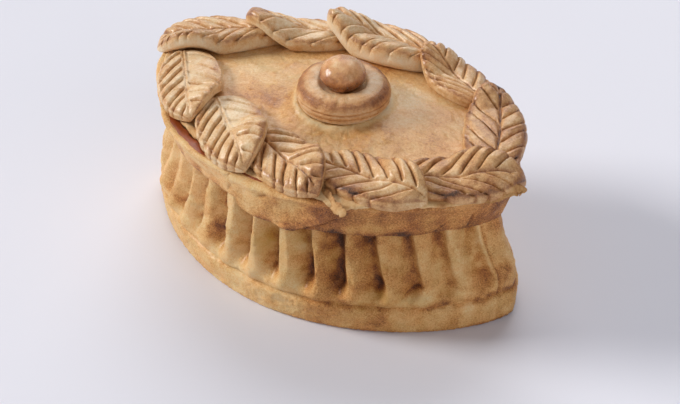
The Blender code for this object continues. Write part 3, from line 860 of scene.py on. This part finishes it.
# Round the rim, each over one end of the leaf before it.
LEAVES = [
    Leaf((82, -38), (18, -45), 13, 16, 8.5, 1, Ribs(6, 40), Ribs(8, 50), plain_base=7, tip_browning=0.08,
         browning=0.03, spots=[(0.62, 0.95, 6, 0.36), (0.5, 0.95, 5, 0.2), (0.05, 0.1, 6, 0.16)]),
    Leaf((-20, -42), (36, -62), 14, 16, 8, 0, Ribs(6, 44), Ribs(6, 46), tip_browning=0.26, browning=0.03,
         spots=[(0.86, 0.25, 6, 0.13), (0.94, -0.2, 5, 0.08)]),
    Leaf((-54, -27), (-4, -67), 15.5, 19, 8, 0, Ribs(7, 44), Ribs(angle=56, **LATE_RIBS), plain_tip=2,
         tip_browning=0.12, browning=-0.06, midrib=0.4, spots=[(0.5, -0.97, 9, 0.2), (0.8, -0.9, 6, 0.2)]),
    Leaf((-96, 0), (-51, -50), 14.5, 19, 8, 0, Ribs(7, 44), Ribs(angle=58, **LATE_RIBS), plain_tip=2,
         tip_browning=0.1, browning=-0.07, midrib=0.4, spots=[(0.45, -0.97, 9, 0.18)]),
    Leaf((-58, 38), (-112, -2), 18.5, 16.5, 11, 1, Ribs(6, 42), Ribs(8, 56), plain_tip=3, tip_browning=0.12,
         widest=0.6, wall=0.5, inner_lift=0.8),
    Leaf((-24, 61), (-78, 32), 15, 16, 9, 0, Ribs(6, 34, 0.7), Ribs(5, 44), plain_tip=11, tip_lift=2.5,
         tip_browning=0.2, browning=-0.07, spots=[(0.9, 0.0, 7, 0.24), (0.8, 0.3, 5, 0.1)]),
    Leaf((24, 63), (-42, 56), 17, 17, 12, 1, Ribs(5, 26), Ribs(8, 66), plain_tip=7, tip_lift=2.5,
         tip_browning=0.06, browning=-0.04, wall=0.75, inner_lift=2.8, spots=[(0.95, 0.0, 2.2, 0.4)]),
    Leaf((64, 46), (14, 66), 15, 14.5, 8.5, 0, Ribs(6, 50, 0.8), Ribs(6, 30, 0.8), tip_browning=0.12,
         browning=0.05, spots=[(0.75, -0.6, 4, 0.2), (0.5, -0.7, 4, 0.14)]),
    Leaf((98, -9), (61, 60), 13.5, 18, 8.5, 3, Ribs(7, 46), Ribs(6, 44), plain_tip=6, tip_browning=0.2,
         browning=0.14, spots=[(0.97, 0.2, 2.5, 0.5), (0.2, -0.7, 4, 0.22)]),
    Leaf((58, -33), (111, 4), 13, 15.5, 8, 3, Ribs(5, 24), Ribs(7, 52), plain_tip=9, tip_lift=1.5,
         tip_browning=0.16, browning=0.08, spots=[(0.45, 0.7, 9, 0.2), (0.65, 0.8, 7, 0.2)]),
]


def crust_height(x, y):
    """Height of what a leaf lies on: the lid, the rim's top, and a slight droop beyond the rim."""
    beyond = np.maximum(0, oval_measure(x, y, *REFERENCE_LEVEL) - 1) * OVERHANG_SPREAD
    return np.maximum(lid_height(x, y), RIM_TOP) - OVERHANG_DROOP * beyond


def leaf_bed(leaf, under):
    """Heights of the leaf's underside over a net of places along and across it, bridging what is under it."""
    alongs, sides = np.meshgrid(np.linspace(0, 1, LEAF_SAMPLES[0]), np.linspace(-1, 1, LEAF_SAMPLES[1]),
                                indexing="ij")
    plan = leaf.plan(alongs.ravel(), sides.ravel())
    lowest = crust_height(*plan.T)
    for index, (x, y) in enumerate(plan * MM):
        hit = under.ray_cast(Vector((x, y, RAY_START)), Vector((0, 0, -1)))[0]
        if hit:
            lowest[index] = max(lowest[index], hit.z / MM)
    apart = np.linalg.norm(plan[:, None] - plan[None], axis=2)
    return (lowest[None, :] - DOUGH_SLOPE * apart).max(axis=1).reshape(LEAF_SAMPLES)


def bed_height(bed, along, side):
    """Heights between the samples of a leaf's bed."""
    row = np.clip(along, 0, 1) * (LEAF_SAMPLES[0] - 1)
    column = (np.clip(side, -1, 1) + 1) / 2 * (LEAF_SAMPLES[1] - 1)
    low_row = np.minimum(row.astype(int), LEAF_SAMPLES[0] - 2)
    low_column = np.minimum(column.astype(int), LEAF_SAMPLES[1] - 2)
    part_row, part_column = row - low_row, column - low_column

    def in_row(rows):
        return bed[rows, low_column] * (1 - part_column) + bed[rows, low_column + 1] * part_column

    return in_row(low_row) * (1 - part_row) + in_row(low_row + 1) * part_row


def leaf_section(power=3.6, top=76, wall=14, under=16):
    """Places round a leaf's cross-section as (side, rise) from -1 to 1: a flat lens with rounded corners."""
    corner = 0.5 ** (1 / power)

    def other(value):
        return (1 - np.abs(value) ** power) ** (1 / power)

    across = np.linspace(-corner, corner, top, endpoint=False)
    down = np.linspace(corner, -corner, wall, endpoint=False)
    back = np.linspace(corner, -corner, under, endpoint=False)
    up = np.linspace(-corner, corner, wall, endpoint=False)
    sides = np.concatenate([across, other(down), back, -other(up)])
    rises = np.concatenate([other(across), down, -other(back), up])
    return sides, rises


def rib_relief(leaf, along, side, sizes):
    """Cuts from 0 to 1, rib crowns from 0 to 1 and place across each rib, for points of a leaf."""
    half = leaf.half_width(along, side)
    off_midrib = np.abs(side) * half
    cuts, crowns, tiles = np.zeros_like(along), np.zeros_like(along), np.zeros_like(along)
    for ribs, mine in [(leaf.outer_ribs, side > 0), (leaf.inner_ribs, side <= 0)]:
        slant = 1 / math.tan(math.radians(ribs.angle))
        pitch = leaf.length / (ribs.count + 0.6)
        start = along * leaf.length - off_midrib * slant - 0.01 * off_midrib ** 2
        place = start / pitch + RIB_PHASE
        strength = ribs.strength
        if ribs.late:
            strength = strength * (0.3 + 0.7 * smooth(ribs.late - 0.15, ribs.late + 0.05, along))
        place = place + 0.13 * np.sin(2.7 * np.rint(place) + leaf.length) * smooth(0, 10, off_midrib)
        part = place - np.floor(place)
        gap = np.minimum(part, 1 - part) * pitch * math.sin(math.radians(ribs.angle))
        cut = np.exp(-(gap / (sizes.cut_width / MM)) ** 1.5) * strength
        crown = (1 - np.abs(2 * part - 1) ** 2.4) ** 0.55 * strength
        cuts = np.where(mine, cut, cuts)
        crowns = np.where(mine, crown, crowns)
        tiles = np.where(mine, (part - 0.5) * crown, tiles)
    plain = smooth(leaf.plain_tip, leaf.plain_tip - 3, (1 - along) * leaf.length)
    plain = np.maximum(plain, smooth(leaf.plain_base, leaf.plain_base - 2, along * leaf.length))
    return cuts * (1 - plain), crowns * (1 - plain) + plain, tiles * (1 - plain)


def make_leaf(number, leaf, under, sizes, material):
    """Leaf with slanting ribs cut into its top, a line along its middle and pale, layered sides."""
    bed = leaf_bed(leaf, under)
    sides, rises = leaf_section()
    mesh, row, share = shell_grid(sizes.rows, len(sides))
    along = 0.5 - 0.5 * np.cos(math.pi * row / (sizes.rows - 1))
    along = 0.55 * along + 0.45 * row / (sizes.rows - 1)
    index = np.rint(share * len(sides)).astype(int) % len(sides)
    side, rise = sides[index], rises[index]
    flat = leaf.plan(along, side)
    thickness = leaf.thickness * np.maximum(0, 1 - np.abs(2 * along - 1) ** LEAF_END_POWER) ** 0.5
    z = bed_height(bed, along, side) + thickness * (0.5 + 0.5 * rise) - sizes.press / MM * (1 - 0.4 * rise)
    base = np.column_stack([flat, z])

    off_midrib = np.abs(side) * leaf.half_width(along, side)
    cuts, crowns, tiles = rib_relief(leaf, along, side, sizes)
    on_top = smooth(0.35, 0.8, rise)
    whole = smooth(0, 0.06, along) * smooth(1, 0.94, along)
    ribbed = smooth(0.4, 2.2, off_midrib) * whole
    wide = lumps(base, 11, seed=30 + number, octaves=2)
    small = lumps(base, 3.0, seed=50 + number)
    to_tip = (1 - along) * leaf.length
    midrib = np.exp(-(off_midrib / 0.75) ** 1.4) * smooth(leaf.plain_tip * 0.4, leaf.plain_tip, to_tip)
    midrib *= leaf.midrib * (1 + 0.3 * small)
    trough = (1 - crowns) * ribbed
    z = z + on_top * (-sizes.cut_depth / MM * cuts * ribbed - sizes.rib_crown / MM * trough
                      + sizes.tile_step / MM * tiles * ribbed - sizes.midrib_depth / MM * midrib * whole
                      - 0.4 * hump(off_midrib, 0, 3))
    lift = leaf.tip_lift * smooth(0.8, 0.97, along) + leaf.inner_lift * smooth(0.1, -0.8, side) * whole
    z += 0.3 * wide + 0.16 * small * on_top + lift * (0.5 + 0.5 * rise)
    toward_edge = smooth(0.55, 0.95, np.abs(side))
    upper = smooth(-0.2, 0.5, rise)
    down_side = np.where(side > 0, smooth(-0.9, -0.4, rise), upper)
    push = toward_edge * (0.5 * wide - sizes.scallop / MM * (cuts + 0.6 * trough) * down_side)
    layers = np.sin(rise * 7 + 1.5 * wide)
    push += toward_edge * (0.2 * layers + 0.9 * leaf.wall * hump(rise, -0.25, 0.4)) * (1 - on_top)
    flat = flat + leaf.across * (np.sign(side) * push * whole)[:, None]

    edge_line = hump(rise, 0.66, 0.2) * toward_edge
    bake_and_shade = 0.37 + leaf.browning + 0.12 * wide + 0.08 * small + 0.10 * (crowns - 0.5) * on_top * ribbed
    bake_and_shade += 0.22 * edge_line - (0.26 * leaf.wall - 0.07 * (side > 0)) * smooth(0.4, 0, rise)
    # Notches that the cuts leave on the leaf's side: browner, with painted shade in them.
    bake_and_shade += 0.25 * cuts * toward_edge * (1 - on_top) * down_side
    bake_and_shade += leaf.tip_browning * smooth(0.84, 0.98, along) * (0.4 + 0.6 * on_top)
    # Browner in the cuts and the midrib line, with painted shade in their depths.
    bake_and_shade += (0.3 * cuts * ribbed + 0.34 * midrib * whole) * on_top * (0.75 + 0.5 * small)
    bake_and_shade += 0.1 * tiles * ribbed * on_top
    for spot_along, spot_side, radius, browning in leaf.spots:
        spot = leaf.plan(np.array([spot_along]), np.array([spot_side]))[0]
        fading = np.exp(-((flat - spot) ** 2).sum(axis=1) / radius ** 2)
        bake_and_shade += browning * fading * (0.8 + 0.5 * small) * upper
    glaze = on_top * (0.55 + 0.35 * wide)
    name = f"leaf_{number:02d}"
    points = np.column_stack([flat, z])
    write_piece("crust_" + name, mesh, points, (bake_and_shade, 0, glaze), material, name)


def node_tree_of(name):
    """Search tree of a frame node's faces."""
    return BVHTree.FromPolygons([vert.co[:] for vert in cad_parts[name].data.vertices],
                                [face.vertices[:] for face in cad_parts[name].data.polygons])


# Stage

CAMERA_AZIMUTH = math.radians(35.31)
CAMERA_ELEVATION = math.radians(37.69)
CAMERA_ROLL = math.radians(-0.55)
CAMERA_DISTANCE = 0.9763
CAMERA_LENS_MM = 97.44
SENSOR_WIDTH_MM = 36
IMAGE_SIZE = (680, 404)
AIM_PIXEL = (333.10, 236.32)


def make_camera():
    """Camera that looks down on the pie from the front right, with the origin at the aim pixel."""
    azimuth, elevation = CAMERA_AZIMUTH, CAMERA_ELEVATION
    back = Vector((math.sin(azimuth) * math.cos(elevation), -math.cos(azimuth) * math.cos(elevation),
                   math.sin(elevation)))
    right = Vector((math.cos(azimuth), math.sin(azimuth), 0))
    up = back.cross(right)
    roll = Matrix.Rotation(CAMERA_ROLL, 3, back)
    right, up = roll @ right, roll @ up
    pixel = CAMERA_DISTANCE * SENSOR_WIDTH_MM / CAMERA_LENS_MM / IMAGE_SIZE[0]
    off_right = (AIM_PIXEL[0] - IMAGE_SIZE[0] / 2) * pixel
    off_up = (IMAGE_SIZE[1] / 2 - AIM_PIXEL[1]) * pixel
    spot = back * CAMERA_DISTANCE - right * off_right - up * off_up
    camera = bpy.data.objects.new("camera", bpy.data.cameras.new("camera"))
    camera.data.lens = CAMERA_LENS_MM
    camera.data.sensor_width = SENSOR_WIDTH_MM
    camera.data.clip_start = 0.01
    camera.matrix_world = Matrix.Translation(spot) @ Matrix((right, up, back)).transposed().to_4x4()
    bpy.context.scene.collection.objects.link(camera)
    bpy.context.scene.camera = camera


def make_light(name, direction, softness, strength, colour):
    """Wide, even light from one direction, as from a large window."""
    lamp = bpy.data.lights.new(name, "SUN")
    lamp.angle = math.radians(softness)
    lamp.energy = strength
    lamp.color = colour
    light = bpy.data.objects.new(name, lamp)
    light.matrix_world = Vector(direction).to_track_quat("Z", "Y").to_matrix().to_4x4()
    bpy.context.scene.collection.objects.link(light)


# Operators

class PIE_OT_case(bpy.types.Operator):
    """Model the fluted case with its foot band and cornice"""
    bl_idname = "pie.case"
    bl_label = "Case"

    def execute(self, context):
        # Hot-water crust, raised by hand in a mould and baked: matt and sandy, with fat-soaked patches.
        crust = baked_pastry(
            "hot_water_crust_moulded", context.scene.pie_colours, patch_mm=10, patch_share=0.32,
            grain_mm=0.8, grain_share=0.46, grain_height_mm=1.0, rough_matt=0.58, rough_glazed=0.3, coat=0.18,
            pale_tint=(1.13, 1.09, 1.07), dark_tint=(1.27, 1.12, 0.8), warm=(1.09, 0.96, 0.78),
            cool=(1.04, 1.01, 0.86))
        make_case(context.scene.pie_case, crust)
        return {"FINISHED"}


class PIE_OT_lid(bpy.types.Operator):
    """Model the domed lid, its trimmed margin and the gravy that ran out"""
    bl_idname = "pie.lid"
    bl_label = "Lid"

    def execute(self, context):
        look = context.scene.pie_colours
        # The same crust rolled out and brushed with egg: smoother, with a low sheen and soft brown clouds.
        rolled = baked_pastry(
            "hot_water_crust_rolled_and_egg_washed", look, patch_mm=15, patch_share=0.22,
            grain_mm=1.3, grain_share=0.26, grain_height_mm=0.6, rough_matt=0.48, rough_glazed=0.3, coat=0.35,
            pale_tint=(1.0, 1.05, 1.2), dark_tint=(1.22, 1.12, 0.84), warm=(1.05, 0.97, 0.88),
            cool=(1.0, 1.02, 0.98))
        # Cut edge of the rolled crust: dry and floury, with thin layers.
        trimmed = baked_pastry(
            "hot_water_crust_trimmed_edge", look, patch_mm=9, patch_share=0.15,
            grain_mm=1.4, grain_share=0.2, grain_height_mm=0.35, rough_matt=0.72, rough_glazed=0.55, coat=0.0,
            pale_tint=(1.0, 1.0, 1.02), dark_tint=(1, 1, 1), warm=(1.03, 0.98, 0.94), cool=(1, 1, 1))
        make_lid(context.scene.pie_lid, rolled)
        make_margin(trimmed)
        for scrap in SCRAPS:
            make_scrap(*scrap, trimmed)
        make_gravy(look)
        return {"FINISHED"}


class PIE_OT_rosette(bpy.types.Operator):
    """Model the rosette and its knob"""
    bl_idname = "pie.rosette"
    bl_label = "Rosette"

    def execute(self, context):
        look = context.scene.pie_colours
        # Rolled crust with two coats of egg: browner, with a soft gloss on its rounded top.
        glazed = baked_pastry(
            "rolled_crust_egg_glazed", look, patch_mm=11, patch_share=0.26,
            grain_mm=1.2, grain_share=0.22, grain_height_mm=0.5, rough_matt=0.5, rough_glazed=0.28, coat=0.25,
            pale_tint=(1.02, 1.1, 1.42), dark_tint=(1.18, 1.08, 0.92), warm=(1.05, 0.97, 0.9), cool=(1, 1, 1))
        # A rolled ball that took the most egg: dark and shiny.
        ball = baked_pastry(
            "rolled_ball_egg_glazed", look, patch_mm=7, patch_share=0.34,
            grain_mm=1.2, grain_share=0.2, grain_height_mm=0.6, rough_matt=0.42, rough_glazed=0.2, coat=0.6,
            pale_tint=(1.04, 1.05, 1.16), dark_tint=(1.22, 1.04, 0.9), warm=(1.06, 0.96, 0.9),
            cool=(1.0, 1.0, 0.99))
        make_rosette(context.scene.pie_lid, glazed)
        make_knob(context.scene.pie_lid, ball)
        return {"FINISHED"}


class PIE_OT_leaves(bpy.types.Operator):
    """Model the border of overlapping pastry leaves"""
    bl_idname = "pie.leaves"
    bl_label = "Leaves"

    def execute(self, context):
        # Cut and scored crust, egg-washed on top: golden ribs with a low sheen, pale dull sides.
        scored = baked_pastry(
            "scored_crust_egg_washed", context.scene.pie_colours, patch_mm=9, patch_share=0.22,
            grain_mm=1.1, grain_share=0.24, grain_height_mm=0.4, rough_matt=0.52, rough_glazed=0.26,
            coat=0.45, pale_tint=(1.03, 1.15, 1.48), dark_tint=(1.16, 1.12, 0.99),
            warm=(1.03, 0.97, 0.92), cool=(0.99, 1.01, 1.01))
        for number, leaf in enumerate(LEAVES, start=1):
            below = (number - 2) % len(LEAVES) + 1
            make_leaf(number, leaf, node_tree_of(f"leaf_{below:02d}"), context.scene.pie_leaf, scored)
        return {"FINISHED"}


class PIE_OT_stage(bpy.types.Operator):
    """Add the floor, the soft light and the camera"""
    bl_idname = "pie.stage"
    bl_label = "Stage"

    def execute(self, context):
        settings = context.scene.pie_stage
        mesh = bmesh.new()
        bmesh.ops.create_grid(mesh, x_segments=1, y_segments=1, size=4)
        data = bpy.data.meshes.new("floor")
        mesh.to_mesh(data)
        mesh.free()
        floor = bpy.data.objects.new("floor", data)
        context.scene.collection.objects.link(floor)
        # Pale matt board, faintly uneven in tone.
        material, tree, shader = empty_material("matt_board_painted")
        place = add_node(tree, "ShaderNodeTexCoord").outputs["Object"]
        tone = noise_fac(tree, place, 120, 2.0)
        darker = (*[0.97 * channel for channel in settings.floor], 1)
        tree.links.new(mixed(tree, tone, darker, (*settings.floor, 1)), shader.inputs["Base Color"])
        shader.inputs["Roughness"].default_value = 0.75
        data.materials.append(material)

        world = bpy.data.worlds.new("studio")
        world.use_nodes = True
        sky = world.node_tree.nodes["Background"]
        sky.inputs["Color"].default_value = (*settings.sky, 1)
        sky.inputs["Strength"].default_value = settings.sky_strength
        context.scene.world = world
        make_light("key", (-0.87, -0.38, 0.5), 20, settings.key_strength, (1.0, 0.99, 0.97))
        make_light("back", (-0.4, 0.65, 0.7), 45, settings.back_strength, (0.98, 0.98, 1.0))
        make_light("fill", (0.8, -0.45, 0.42), 60, settings.fill_strength, (1.0, 0.98, 0.97))
        context.scene.view_settings.view_transform = "Standard"
        make_camera()
        return {"FINISHED"}


class PIE_PT_panel(bpy.types.Panel):
    """Buttons and sizes for the pie"""
    bl_idname = "PIE_PT_panel"
    bl_label = "Raised goose pie"
    bl_space_type = "VIEW_3D"
    bl_region_type = "UI"
    bl_category = "Pie"

    def draw(self, context):
        layout = self.layout
        for operator in OPERATORS:
            layout.operator(operator.bl_idname)
        for group in SETTINGS:
            box = layout.box()
            settings = getattr(context.scene, group)
            for name in settings.bl_rna.properties.keys():
                if name not in ("rna_type", "name"):
                    box.prop(settings, name)


OPERATORS = [PIE_OT_case, PIE_OT_lid, PIE_OT_rosette, PIE_OT_leaves, PIE_OT_stage]
SETTINGS = {"pie_colours": BakeColours, "pie_case": CaseSizes, "pie_lid": LidSizes, "pie_leaf": LeafSizes,
            "pie_stage": StageSettings}


def register():
    """Add the settings, the operators and the panel."""
    for name, group in SETTINGS.items():
        bpy.utils.register_class(group)
        setattr(bpy.types.Scene, name, bpy.props.PointerProperty(type=group))
    for operator in OPERATORS:
        bpy.utils.register_class(operator)
    bpy.utils.register_class(PIE_PT_panel)


def unregister():
    """Remove what register added."""
    bpy.utils.unregister_class(PIE_PT_panel)
    for operator in reversed(OPERATORS):
        bpy.utils.unregister_class(operator)
    for name, group in SETTINGS.items():
        delattr(bpy.types.Scene, name)
        bpy.utils.unregister_class(group)


def main():
    """Build the whole pie and its stage."""
    register()
    bpy.ops.pie.case()
    bpy.ops.pie.lid()
    bpy.ops.pie.rosette()
    bpy.ops.pie.leaves()
    bpy.ops.pie.stage()


if __name__ == "__main__":
    main()
